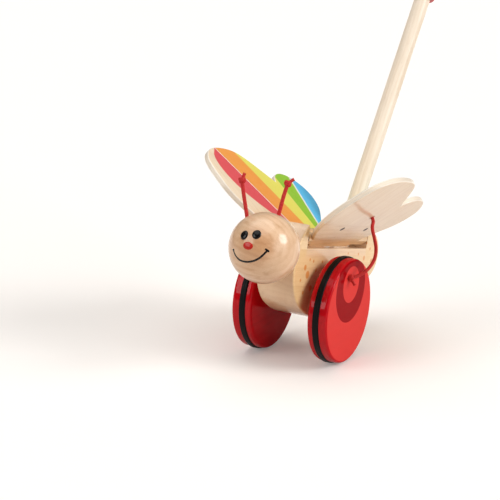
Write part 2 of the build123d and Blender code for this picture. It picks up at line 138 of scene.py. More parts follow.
class Recipe:
    """Puts together the nodes of one material or one shared effect."""

    def __init__(self, tree):
        self.tree = tree

    def put(self, kind, **settings):
        node = self.tree.nodes.new(kind)
        for name, value in settings.items():
            setattr(node, name, value)
        return node

    def feed(self, socket, value):
        if isinstance(value, bpy.types.NodeSocket):
            self.tree.links.new(value, socket)
        else:
            socket.default_value = value

    def math(self, operation, *values, clamp=False):
        node = self.put("ShaderNodeMath", operation=operation, use_clamp=clamp)
        for socket, value in zip(node.inputs, values):
            self.feed(socket, value)
        return node.outputs[0]

    def vector(self, operation, *values):
        node = self.put("ShaderNodeVectorMath", operation=operation)
        for socket, value in zip(node.inputs, values):
            self.feed(socket, value)
        plain = operation in ("DOT_PRODUCT", "LENGTH", "DISTANCE")
        return node.outputs["Value" if plain else "Vector"]

    def fade(self, value, low, high, start=0.0, end=1.0):
        """Goes smoothly from start to end while the value goes from low to high."""
        node = self.put("ShaderNodeMapRange", interpolation_type="SMOOTHSTEP")
        for socket, given in zip(node.inputs, (value, low, high, start, end)):
            self.feed(socket, given)
        return node.outputs[0]

    def noise(self, place, detail=2.0, roughness=0.5):
        """A cloudy value and a cloudy vector, one cloud per unit of the place."""
        node = self.put("ShaderNodeTexNoise")
        self.feed(node.inputs["Vector"], place)
        node.inputs["Scale"].default_value = 1.0
        node.inputs["Detail"].default_value = detail
        node.inputs["Roughness"].default_value = roughness
        return node.outputs[0], node.outputs[1]

    def mix(self, share, first, second, way="MIX"):
        """The first colour with a share of the second. Sockets that share a name go by number."""
        node = self.put("ShaderNodeMix", data_type="RGBA", blend_type=way)
        self.feed(node.inputs[0], share)
        self.feed(node.inputs[6], first)
        self.feed(node.inputs[7], second)
        return node.outputs[2]

    def parts(self, place):
        node = self.put("ShaderNodeSeparateXYZ")
        self.feed(node.inputs[0], place)
        return node.outputs

    def use(self, effect, **inputs):
        node = self.put("ShaderNodeGroup", node_tree=effect)
        for name, value in inputs.items():
            self.feed(node.inputs[name.replace("_", " ")], value)
        return node.outputs


def shared_effect(name, inputs, outputs):
    """A new node group: its recipe, the values that come in, and the sockets that go out."""
    kinds = {"vector": "NodeSocketVector", "value": "NodeSocketFloat", "color": "NodeSocketColor"}
    tree = bpy.data.node_groups.new(name, "ShaderNodeTree")
    for label, kind, value in inputs:
        tree.interface.new_socket(label, in_out="INPUT", socket_type=kinds[kind]).default_value = value
    for label, kind in outputs:
        tree.interface.new_socket(label, in_out="OUTPUT", socket_type=kinds[kind])
    recipe = Recipe(tree)
    return recipe, recipe.put("NodeGroupInput").outputs, recipe.put("NodeGroupOutput").inputs


def shade(red, green, blue):
    """A colour as it is read off a screen, from 0 to 255, for a shader."""
    shares = [c / 255 for c in (red, green, blue)]
    return (*[c / 12.92 if c <= 0.04045 else ((c + 0.055) / 1.055) ** 2.4 for c in shares], 1.0)


# Shared effects


def measured_place():
    """The place on a piece in millimetres along three ways, and how squarely it faces the second."""
    recipe, given, out = shared_effect(
        "measured place",
        [
            ("Origin", "vector", (0, 0, 0)),
            ("Across", "vector", (1, 0, 0)),
            ("Along", "vector", (0, 1, 0)),
            ("Up", "vector", (0, 0, 1)),
        ],
        [("Place", "vector"), ("Facing Along", "value")],
    )
    seen = recipe.put("ShaderNodeTexCoord").outputs
    away = recipe.vector("SUBTRACT", seen["Object"], given["Origin"])
    joined = recipe.put("ShaderNodeCombineXYZ")
    for socket, way in zip(joined.inputs, ("Across", "Along", "Up")):
        recipe.feed(socket, recipe.math("MULTIPLY", recipe.vector("DOT_PRODUCT", away, given[way]), 1 / mm))
    recipe.feed(out["Place"], joined.outputs[0])
    facing = recipe.math("ABSOLUTE", recipe.vector("DOT_PRODUCT", seen["Normal"], given["Along"]))
    recipe.feed(out["Facing Along"], recipe.fade(facing, 0.55, 0.95))
    return recipe.tree


def wood_figure():
    """Year rings, streaks, fibres and brown flecks. The grain runs along the place's second way."""
    recipe, given, out = shared_effect(
        "wood figure",
        [
            ("Place", "vector", (0, 0, 0)),
            ("Ends", "value", 0.0),
            ("Pith", "vector", (0, 0, 0)),
            ("Pale", "color", (0.7, 0.5, 0.35, 1)),
            ("Brown", "color", (0.5, 0.3, 0.18, 1)),
            ("Ring Gap", "value", 3.0),
            ("Rings", "value", 0.2),
            ("Streaks", "value", 0.4),
            ("Flecks", "value", 0.3),
        ],
        [("Color", "color"), ("Height", "value")],
    )
    place = given["Place"]

    # Rings round the pith, which darken outwards and end sharply
    slow = recipe.noise(recipe.vector("MULTIPLY", place, (0.025, 0.006, 0.025)), 3.0)[1]
    bent = recipe.vector("MULTIPLY", recipe.vector("SUBTRACT", slow, (0.5, 0.5, 0.5)), (18, 0, 18))
    from_pith = recipe.vector("SUBTRACT", recipe.vector("ADD", place, bent), given["Pith"])
    radius = recipe.vector("LENGTH", recipe.vector("MULTIPLY", from_pith, (1, 0, 1)))
    ring = recipe.math("FRACT", recipe.math("DIVIDE", radius, given["Ring Gap"]))
    late = recipe.math("MULTIPLY", recipe.fade(ring, 0.25, 0.88), recipe.fade(ring, 1.0, 0.9))

    # Clouds of four sizes, drawn out along the grain
    fibre = recipe.noise(recipe.vector("MULTIPLY", place, (1.9, 0.09, 1.9)), 4.0, 0.62)[0]
    streak = recipe.noise(recipe.vector("MULTIPLY", place, (0.26, 0.022, 0.26)), 2.0, 0.5)[0]
    broad = recipe.noise(recipe.vector("MULTIPLY", place, (0.045, 0.02, 0.045)), 2.0)[0]
    speck = recipe.noise(recipe.vector("MULTIPLY", place, (2.4, 0.36, 2.4)), 0.0)[0]

    # Sawn ends have no flecks, weaker streaks and a browner tone
    lengthways = recipe.math("SUBTRACT", 1.0, given["Ends"])
    fleck = recipe.math("MULTIPLY", recipe.fade(speck, 0.7, 0.78), lengthways)
    calmed = recipe.math("MULTIPLY_ADD", given["Ends"], -0.7, 1.0)
    streaks = recipe.math("MULTIPLY", given["Streaks"], calmed)
    share = recipe.math("MULTIPLY", late, given["Rings"])
    share = recipe.math("MULTIPLY_ADD", recipe.fade(streak, 0.46, 0.72), streaks, share)
    share = recipe.math("ADD", share, recipe.fade(fibre, 0.3, 0.75, -0.08, 0.14))
    share = recipe.math("ADD", share, recipe.fade(broad, 0.3, 0.7, -0.1, 0.2))
    share = recipe.math("MULTIPLY_ADD", given["Ends"], 0.12, share)
    share = recipe.math("MINIMUM", recipe.math("MAXIMUM", share, 0.0), 1.0)

    color = recipe.mix(share, given["Pale"], given["Brown"])
    darker = recipe.mix(0.6, given["Brown"], (0.2, 0.1, 0.05, 1))
    flecked = recipe.mix(recipe.math("MULTIPLY", fleck, given["Flecks"]), color, darker)
    recipe.feed(out["Color"], flecked)
    depth = recipe.math("SUBTRACT", fibre, recipe.math("MULTIPLY", fleck, 0.6))
    recipe.feed(out["Height"], recipe.math("SUBTRACT", depth, recipe.math("MULTIPLY", late, 0.2)))
    return recipe.tree


def lacquer_skin():
    """The faint waves, hairlines and finger marks of a lacquered surface."""
    recipe, given, out = shared_effect(
        "lacquer skin",
        [
            ("Place", "vector", (0, 0, 0)),
            ("Smoothness", "value", 0.2),
            ("Marks", "value", 0.1),
        ],
        [("Roughness", "value"), ("Height", "value")],
    )
    place = given["Place"]
    waves = recipe.noise(recipe.vector("MULTIPLY", place, (0.55, 0.55, 0.55)), 2.0)[0]
    prints = recipe.noise(recipe.vector("MULTIPLY", place, (0.11, 0.16, 0.13)), 4.0, 0.6)[0]
    hair = recipe.noise(recipe.vector("MULTIPLY", place, (0.25, 5.0, 3.4)), 1.0)[0]
    marks = recipe.math("ADD", recipe.fade(prints, 0.45, 0.7), recipe.fade(hair, 0.66, 0.74, 0.0, 0.8))
    recipe.feed(out["Roughness"], recipe.math("MULTIPLY_ADD", marks, given["Marks"], given["Smoothness"]))
    recipe.feed(out["Height"], recipe.math("SUBTRACT", waves, recipe.fade(hair, 0.68, 0.74, 0.0, 0.15)))
    return recipe.tree


def ply_layers():
    """The three glued layers that show on the edge of a thin board. Depth is counted from its middle."""
    recipe, given, out = shared_effect(
        "ply layers",
        [
            ("Depth", "value", 0.0),
            ("Color", "color", (0.8, 0.65, 0.5, 1)),
            ("Core", "value", 0.95),
        ],
        [("Color", "color")],
    )
    away = recipe.math("ABSOLUTE", given["Depth"])
    pale = recipe.mix(0.7, given["Color"], (0.95, 0.9, 0.82, 1))
    core = recipe.mix(1.0, pale, (0.96, 0.93, 0.88, 1), "MULTIPLY")
    layered = recipe.mix(recipe.fade(recipe.math("SUBTRACT", away, given["Core"]), -0.06, 0.06), core, pale)
    line = recipe.math("ABSOLUTE", recipe.math("SUBTRACT", away, given["Core"]))
    glue = recipe.fade(line, 0.0, 0.2, 0.35, 0.0)
    recipe.feed(out["Color"], recipe.mix(glue, layered, (0.42, 0.3, 0.18, 1)))
    return recipe.tree


def thread_fuzz():
    """Dyed yarn: fibres of several tones and a fine lay of hairs."""
    recipe, given, out = shared_effect(
        "thread fuzz",
        [("Place", "vector", (0, 0, 0)), ("Color", "color", (0.5, 0.02, 0.02, 1))],
        [("Color", "color"), ("Height", "value")],
    )
    fine = recipe.noise(recipe.vector("MULTIPLY", given["Place"], (7.0, 7.0, 7.0)), 3.0, 0.7)[0]
    broad = recipe.noise(recipe.vector("MULTIPLY", given["Place"], (0.5, 0.5, 0.5)), 2.0)[0]
    broad_tone = recipe.fade(broad, 0.3, 0.7, -0.12, 0.12)
    tone = recipe.math("ADD", recipe.fade(fine, 0.3, 0.7, -0.28, 0.3), broad_tone)
    dark = recipe.mix(1.0, given["Color"], (0.6, 0.45, 0.42, 1), "MULTIPLY")
    pale = recipe.mix(0.12, given["Color"], (0.95, 0.45, 0.4, 1))
    recipe.feed(out["Color"], recipe.mix(recipe.math("ADD", tone, 0.5, clamp=True), dark, pale))
    recipe.feed(out["Height"], fine)
    return recipe.tree


measured = measured_place()
figure = wood_figure()
skin = lacquer_skin()
plies = ply_layers()
yarn = thread_fuzz()


# Finishes


class Finish(Recipe):
    """A new material, with the recipe that feeds its shader."""

    def __init__(self, name):
        self.material = bpy.data.materials.new(name)
        self.material.use_nodes = True
        super().__init__(self.material.node_tree)
        self.shader = self.tree.nodes["Principled BSDF"].inputs

    def set(self, **values):
        """Gives the shader's inputs their values or what feeds them. Each _ in a name is a space."""
        for name, value in values.items():
            self.feed(self.shader[name.replace("_", " ")], value)

    def raise_surface(self, height, depth):
        """Lets a height turn the shader's normal. Depth is in millimetres."""
        bump = self.put("ShaderNodeBump")
        bump.inputs["Distance"].default_value = depth * mm
        self.feed(bump.inputs["Height"], height)
        self.set(Normal=bump.outputs[0])

    def place_on(self, origin, across, along, up):
        """The place on the piece along three ways from an origin. Both are in millimetres."""
        return self.use(measured, Origin=origin * mm, Across=across, Along=along, Up=up)["Place"]


def clear_wood(
    name,
    origin,
    ways,
    pith,
    pale,
    brown,
    gap=3.0,
    rings=0.15,
    streaks=0.4,
    flecks=0.3,
    coat=0.5,
    coat_blur=0.18,
):
    """Sanded wood under a clear lacquer, with its grain along the second of three ways."""
    finish = Finish(name)
    across, along, up = ways
    spot = finish.use(measured, Origin=origin * mm, Across=across, Along=along, Up=up)
    finish.place = spot["Place"]
    wood = finish.use(
        figure,
        Place=finish.place,
        Ends=spot["Facing Along"],
        Pith=pith,
        Pale=pale,
        Brown=brown,
        Ring_Gap=gap,
        Rings=rings,
        Streaks=streaks,
        Flecks=flecks,
    )
    finish.wood = wood["Color"]
    coating = finish.use(skin, Place=finish.place, Smoothness=0.4, Marks=0.1)
    finish.set(Base_Color=finish.wood, Roughness=coating["Roughness"])
    finish.raise_surface(finish.math("MULTIPLY_ADD", wood["Height"], 0.6, coating["Height"]), 0.03)
    finish.set(Coat_Weight=coat, Coat_Roughness=coat_blur, Coat_IOR=1.45, Specular_IOR_Level=0.2)
    return finish


# Dots printed on both sides of the body: back and up in the body's frame, and radius
side_dots = [
    (-26.6, 33.2, 1.2),
    (-20.3, 32.1, 1.3),
    (-33.0, 27.6, 2.2),
    (-27.6, 22.4, 3.0),
    (-38.0, 18.5, 1.3),
    (-14.0, 25.5, 1.7),
    (-19.5, 12.5, 2.3),
    (-5.0, 31.5, 1.2),
    (4.5, 24.0, 2.5),
    (-31.0, 9.5, 1.5),
    (17.0, 33.0, 1.7),
    (27.0, 22.0, 1.3),
    (39.2, 37.6, 1.0),
    (45.0, 27.5, 2.4),
    (33.0, 10.5, 1.8),
    (58.4, 37.0, 1.2),
    (60.5, 25.0, 1.4),
    (69.9, 34.0, 1.9),
    (79.0, 41.0, 1.3),
    (84.5, 31.5, 2.2),
    (71.5, 45.5, 1.2),
]


def printed_dots(body):
    """How much of the printed dots' orange there is at a place on the body's side."""
    flat = body.vector("MULTIPLY", body.place, (0, 1, 1))
    nearest = None
    for back, up, radius in side_dots:
        edge = body.math("SUBTRACT", body.vector("DISTANCE", flat, (0, back, up)), radius)
        nearest = edge if nearest is None else body.math("MINIMUM", nearest, edge)
    return body.fade(nearest, -0.6, 0.35, 1.0, 0.0)


def body_finish():
    """Beech with a clear yellow-orange stain and orange dots on its two sides."""
    body = clear_wood(
        "stained beech body",
        body_origin,
        body_ways,
        (4.0, 0.0, -30.0),
        shade(242, 211, 176),
        shade(214, 172, 129),
        gap=4.2,
        rings=0.12,
        streaks=0.22,
        flecks=0.2,
        coat=1.0,
        coat_blur=0.12,
    )
    across, back, up = body.parts(body.place)
    flat_start, flat_end = body_half_width - body_edge_round, body_half_width - 0.2
    on_side = body.fade(body.math("ABSOLUTE", across), flat_start, flat_end)
    # Close under the notch the side's yellow tint is weaker, so the side is paler there than in front of
    # the notch, behind it and lower down
    below_notch = body.fade(up, 33.0, 38.5, 1.0, 0.0)
    in_front = body.fade(back, -37.0, -31.0, 1.0, 0.0)
    behind = body.fade(back, 69.0, 74.0)
    beside_notch = body.math("MAXIMUM", below_notch, body.math("MAXIMUM", in_front, behind))
    stain = body.math("MULTIPLY", on_side, body.math("MULTIPLY_ADD", beside_notch, 0.7, 0.3))
    stained = body.mix(1.0, body.wood, (1.0, 0.96, 0.74, 1), "MULTIPLY")
    color = body.mix(stain, body.wood, stained)
    dotted = body.math("MULTIPLY", printed_dots(body), body.math("MULTIPLY", on_side, 0.85))
    body.set(Base_Color=body.mix(dotted, color, shade(222, 140, 58)))
    return body.material


# Browner patches on the head: the middle, how far from it the fade starts and ends, and how
# brown the middle is
head_patches = (
    ((5.0, -24.0, 2.0), 5.0, 20.0, 0.85),
    ((-19.0, -16.0, 0.0), 2.0, 15.0, 0.5),
)


def head_finish():
    """A turned beech ball with the grain lying across the face."""
    grain = way_in_body(0.965, -0.1, -0.24).normalized()
    up = (up_way - grain * up_way.dot(grain)).normalized()
    head = clear_wood(
        "turned beech head",
        head_centre,
        (grain.cross(up), grain, up),
        (22.0, 0.0, 9.0),
        shade(234, 198, 162),
        shade(198, 148, 104),
        gap=4.6,
        rings=0.14,
        streaks=0.36,
        flecks=0.18,
        coat=1.0,
        coat_blur=0.14,
    )
    spot = head.place_on(head_centre, *body_ways)
    patches = [
        head.fade(head.vector("DISTANCE", spot, middle), near, far, brownness, 0.0)
        for middle, near, far, brownness in head_patches
    ]
    browned = head.mix(1.0, head.wood, (0.8, 0.62, 0.48, 1), "MULTIPLY")
    head.set(Base_Color=head.mix(head.math("MAXIMUM", *patches), head.wood, browned))
    return head.material


# The line on a wing where its bare front turns to red: places out along the wing and back, in millimetres
bare_front = [
    (3.0, 9.0),
    (7.0, 2.2),
    (14.0, -8.4),
    (22.0, -18.6),
    (32.0, -28.3),
    (44.0, -36.6),
    (54.0, -40.2),
    (64.0, -40.9),
    (73.0, -37.9),
    (80.0, -29.8),
]
# Each later stripe begins behind a line: where that crosses the hinge line, how far back it goes for each
# millimetre out, and the half width of its white edge
stripes = (
    ("orange", 7.0, -0.41, 0.6),
    ("yellow", 29.0, -0.345, 0.0),
    ("green", 41.5, -0.03, 0.0),
    ("blue", 48.7, 0.3, 1.25),
)
stripe_shades = {
    "red": shade(232, 90, 96),
    "orange": shade(250, 166, 78),
    "yellow": shade(240, 232, 108),
    "green": shade(154, 206, 58),
    "blue": shade(100, 202, 252),
}


def bare_front_line(wing):
    """How far back the bare front of a wing reaches at each place out along it."""
    node = wing.put("ShaderNodeFloatCurve")
    points = node.mapping.curves[0].points
    points[0].location, points[1].location = (0.0, 0.65), (1.0, 0.45)
    for place_out, place_back in bare_front:
        points.new(place_out / 100, place_back / 100 + 0.5)
    node.mapping.update()
    wing.feed(node.inputs["Value"], wing.math("DIVIDE", wing.out, 100.0))
    return wing.math("MULTIPLY_ADD", node.outputs[0], 100.0, -50.0)


def stripe_color(wing, color):
    """A printed stripe, through which a little of the wood's grain shows."""
    grain = wing.mix(0.7, wing.wood, (0.95, 0.95, 0.95, 1))
    tinted = wing.mix(1.0, grain, stripe_shades[color], "MULTIPLY")
    return wing.mix(0.82, tinted, stripe_shades[color])


def wing_wood(side, piece, across, along, **looks):
    """Pale clear wood of a wing or its hinge bar, browner towards the hinge as painted shade of the wing's
    root.
    """
    origin, out_way, normal = wing_lines[side]
    wing = clear_wood(
        f"{side} {piece}",
        origin,
        (across, along, normal),
        (60.0, 0.0, -46.0),
        shade(250, 229, 199),
        shade(228, 196, 156),
        coat=0.7,
        coat_blur=0.14,
        **looks,
    )
    wing.back, wing.out, wing.height = wing.parts(wing.place_on(origin, back_way, out_way, normal))
    # Painted shade: the wood is browned towards the hinge, where the wing's root lies in shade
    browned = wing.mix(1.0, wing.wood, (0.87, 0.71, 0.52, 1), "MULTIPLY")
    wing.bare = wing.mix(wing.fade(wing.out, -1.0, 30.0), browned, wing.wood)
    return wing


def bar_finish(side):
    """A hinge bar with its grain lengthways and brown sawn ends, which near the hinge are darker still as
    painted shade of the gap round them.
    """
    origin, out_way = wing_lines[side][:2]
    bar = wing_wood(side, "hinge bar", out_way, back_way, gap=3.4, rings=0.25, streaks=0.3, flecks=0.2)
    sawn_end_and_shade = bar.use(measured, Origin=origin * mm, Along=back_way)["Facing Along"]
    # Painted shade: near the hinge the sawn ends get a brown darker than end grain, for the shade of the
    # gap around them
    sawn_end_and_shade = bar.math("MULTIPLY", sawn_end_and_shade, bar.fade(bar.out, 4.0, 5.0, 1.0, 0.0))
    bar.set(Base_Color=bar.mix(sawn_end_and_shade, bar.bare, shade(146, 98, 58)))
    return bar.material


def wing_finish(side):
    """A wing's pale plate, with ply edges and a striped upper face."""
    out_way = wing_lines[side][1]
    wing = wing_wood(side, "wing plate", back_way, out_way, gap=6.0, rings=0.1, streaks=0.22, flecks=0.12)
    depth = wing.math("SUBTRACT", wing.height, (wing_top + wing_underside) / 2)
    layered = wing.use(plies, Depth=depth, Color=wing.bare)["Color"]
    bare = wing.mix(wing.fade(wing.math("ABSOLUTE", depth), 1.9, 1.97), layered, wing.bare)
    from_front = wing.math("SUBTRACT", wing.back, bare_front_line(wing))
    painted = wing.mix(wing.fade(from_front, -0.3, 0.3), bare, stripe_color(wing, "red"))
    for color, start, turn, white_edge in stripes:
        edge = wing.math("SUBTRACT", wing.back, wing.math("MULTIPLY_ADD", wing.out, turn, start))
        painted = wing.mix(wing.fade(edge, -0.3, 0.3), painted, stripe_color(wing, color))
        if white_edge:
            line = wing.math("ABSOLUTE", edge)
            cover = wing.fade(line, white_edge - 0.25, white_edge + 0.25, 0.95, 0.0)
            painted = wing.mix(cover, painted, shade(252, 244, 234))
    on_top = wing.fade(wing.height, wing_top - 0.12, wing_top - 0.04)
    wing.set(Base_Color=wing.mix(on_top, bare, painted))
    return wing.material


def wheel_finish(side):
    """Wood under glossy red lacquer, with a dark and a light circle printed round the cord's hole."""
    sign = 1.0 if side == "right" else -1.0
    wheel = Finish(f"red {side} wheel")
    place = wheel.place_on(axle_centre, *level_ways)
    wood = wheel.use(
        figure,
        Place=place,
        Pith=(12.0 * sign, 0.0, -70.0),
        Pale=shade(198, 14, 26),
        Brown=shade(180, 12, 24),
        Ring_Gap=5.0,
        Rings=0.15,
        Streaks=0.5,
        Flecks=0.0,
    )
    coating = wheel.use(skin, Place=place, Smoothness=0.3, Marks=0.08)
    flat = wheel.vector("MULTIPLY", place, (0, 1, 1))
    across = wheel.math("MULTIPLY", wheel.parts(place)["X"], sign)
    on_face = wheel.fade(across, wheel_face - 0.9, wheel_face - 0.3)
    color = wood["Color"]
    light = wheel.mix(0.75, color, shade(228, 68, 62))
    dark = wheel.mix(0.8, color, shade(140, 6, 12))
    circles = ((light, 0.0, 0.0, 36.6), (dark, 1.0, 16.6, 24.4), (light, 1.5, 20.0, 13.4))
    for tone, back, up, radius in circles:
        edge = wheel.math("SUBTRACT", wheel.vector("DISTANCE", flat, (0, back, up)), radius)
        inside = wheel.fade(edge, -0.25, 0.25, 1.0, 0.0)
        color = wheel.mix(wheel.math("MULTIPLY", inside, on_face), color, tone)
    # Both faces have a thinner coat than the rim
    from_middle = wheel.math("ABSOLUTE", wheel.math("SUBTRACT", across, wheel_middle))
    half_width = wheel_face - wheel_middle
    coat = wheel.fade(from_middle, half_width - 0.9, half_width - 0.3, 0.5, 0.18)
    wheel.set(Base_Color=color, Roughness=coating["Roughness"], Coat_Weight=coat)
    wheel.raise_surface(wheel.math("MULTIPLY_ADD", wood["Height"], 0.3, coating["Height"]), 0.02)
    wheel.set(Coat_Roughness=0.08, Coat_IOR=1.4, Specular_IOR_Level=0.0)
    return wheel.material


def rubber_finish():
    """Matt black rubber with a faint moulding line and a little dust."""
    ring = Finish("black rubber ring")
    place = ring.place_on(axle_centre, *level_ways)
    grain = ring.noise(ring.vector("MULTIPLY", place, (3.0, 3.0, 3.0)), 3.0, 0.6)[0]
    dust = ring.noise(ring.vector("MULTIPLY", place, (0.2, 0.2, 0.2)), 4.0, 0.65)[0]
    across = ring.math("ABSOLUTE", ring.parts(place)["X"])
    from_seam = ring.math("ABSOLUTE", ring.math("SUBTRACT", across, tyre_middle))
    seam = ring.fade(from_seam, 0.0, 0.3, 1.0, 0.0)
    color = ring.mix(ring.fade(dust, 0.5, 0.8, 0.0, 0.3), shade(9, 8, 9), shade(36, 32, 31))
    ring.set(Base_Color=color, Roughness=ring.fade(dust, 0.3, 0.7, 0.4, 0.58), Specular_IOR_Level=0.12)
    ring.raise_surface(ring.math("MULTIPLY_ADD", seam, 1.6, grain), 0.05)
    return ring.material


def grip_finish():
    """Turned wood of the grip and the connector, under glossy red lacquer."""
    grip = Finish("red grip")
    place = grip.place_on(stick_foot, *stick_ways)
    wood = grip.use(
        figure,
        Place=place,
        Pith=(2.0, 0.0, 9.0),
        Pale=shade(206, 22, 32),
        Brown=shade(182, 16, 26),
        Ring_Gap=3.0,
        Rings=0.4,
        Streaks=0.4,
        Flecks=0.05,
    )
    coating = grip.use(skin, Place=place, Smoothness=0.3, Marks=0.12)
    grip.set(Base_Color=wood["Color"], Roughness=coating["Roughness"])
    grip.raise_surface(grip.math("MULTIPLY_ADD", wood["Height"], 0.4, coating["Height"]), 0.03)
    grip.set(Coat_Weight=0.8, Coat_Roughness=0.1, Coat_IOR=1.45, Specular_IOR_Level=0.2)
    return grip.material


def cord_finish():
    """Braided red cord."""
    cord = Finish("red braid")
    thread = cord.use(yarn, Place=cord.place_on(body_origin, *body_ways), Color=shade(224, 17, 20))
    cord.set(Base_Color=thread["Color"], Roughness=0.55, Specular_IOR_Level=0.3)
    cord.raise_surface(thread["Height"], 0.05)
    return cord.material


def metal_finish(name, bright, dark, roughness, axis):
    """Drawn or browned steel with fine lines along its axis."""
    metal = Finish(name)
    side = axis.orthogonal().normalized()
    place = metal.place_on(body_origin, side, axis, side.cross(axis))
    lines = metal.noise(metal.vector("MULTIPLY", place, (6.0, 0.25, 6.0)), 3.0, 0.6)[0]
    tarnish = metal.noise(metal.vector("MULTIPLY", place, (0.8, 0.8, 0.8)), 3.0, 0.6)[0]
    color = metal.mix(metal.fade(tarnish, 0.35, 0.7), bright, dark)
    scratched = metal.fade(lines, 0.3, 0.7, roughness - 0.08, roughness + 0.12)
    metal.set(Base_Color=color, Roughness=scratched, Metallic=1.0)
    metal.raise_surface(lines, 0.02)
    return metal.material


def face_paint(name, color):
    """Thick glossy paint dabbed on the head."""
    paint = Finish(name)
    place = paint.place_on(head_centre, *body_ways)
    pooled = paint.noise(paint.vector("MULTIPLY", place, (0.9, 0.9, 0.9)), 2.0)[0]
    tone = paint.mix(0.1, color, (0.35, 0.3, 0.3, 1))
    color = paint.mix(paint.fade(pooled, 0.45, 0.8, 0.0, 0.4), color, tone)
    paint.set(Base_Color=color, Roughness=paint.fade(pooled, 0.3, 0.7, 0.22, 0.32))
    paint.raise_surface(pooled, 0.03)
    paint.set(Coat_Weight=0.6, Coat_Roughness=0.04, Coat_IOR=1.4, Specular_IOR_Level=0.05)
    return paint.material


stick_foot = in_body(0, 57.6, 41.2)
stick_slope = radians(51.5)
stick_way = Vector((0, cos(stick_slope), sin(stick_slope)))
stick_ways = (across_way, stick_way, across_way.cross(stick_way))
axle_ways = (level_ways[1], across_way, level_ways[2])
birch_pale, birch_brown = shade(246, 232, 212), shade(226, 204, 176)


def birch(name, origin, ways, pith, **looks):
    """Plain pale birch of a rod or a dowel."""
    return clear_wood(name, origin, ways, pith, birch_pale, birch_brown, **looks).material


stick_looks = dict(gap=2.6, rings=0.2, streaks=0.3, flecks=0.1, coat=0.3)
stick_wood = birch("birch stick", stick_foot, stick_ways, (14.0, 0.0, 6.0), **stick_looks)
axle_wood = birch("birch axle", axle_centre, axle_ways, (3.0, 0.0, 5.0), gap=1.8, coat=0.2)
dowel_wood = birch("birch dowel", body_origin, body_ways, (13.0, 0.0, 44.0), gap=1.5, coat=0.3)
cord_red = cord_finish()
grip_red = grip_finish()
tyre_rubber = rubber_finish()
# Painted shade: the pin's steel is darkened and browned, for the shade at the hinge's end where it shows
shaded_pin_steel = metal_finish("drawn steel pin", shade(124, 104, 86), shade(78, 62, 50), 0.32, back_way)
screw_steel = metal_finish("browned screw", shade(84, 62, 48), shade(44, 30, 22), 0.45, across_way)
eye_paint = face_paint("black face paint", shade(11, 9, 10))
nose_paint = face_paint("red face paint", shade(196, 42, 34))

finishes = {
    "body_block": body_finish(),
    "head_ball": head_finish(),
    "head_dowel": dowel_wood,
    "hinge_pin_plugs": dowel_wood,
    "axle": axle_wood,
    "lower_rod": stick_wood,
    "upper_rod": stick_wood,
    "connector_sleeve": grip_red,
    "grip": grip_red,
}
for side in ("right", "left"):
    finishes[f"{side}_wheel"] = wheel_finish(side)
    finishes[f"{side}_tyre"] = tyre_rubber
    finishes[f"{side}_wing_plate"] = wing_finish(side)
    finishes[f"{side}_hinge_bar"] = bar_finish(side)
    finishes[f"{side}_axle_spacer"] = axle_wood
    finishes[f"{side}_hinge_pin"] = shaded_pin_steel
    finishes[f"{side}_wing_screws"] = screw_steel
for name, piece in nodes.items():
    piece.data.materials.clear()
    piece.data.materials.append(finishes.get(name, cord_red))


# Braided cords


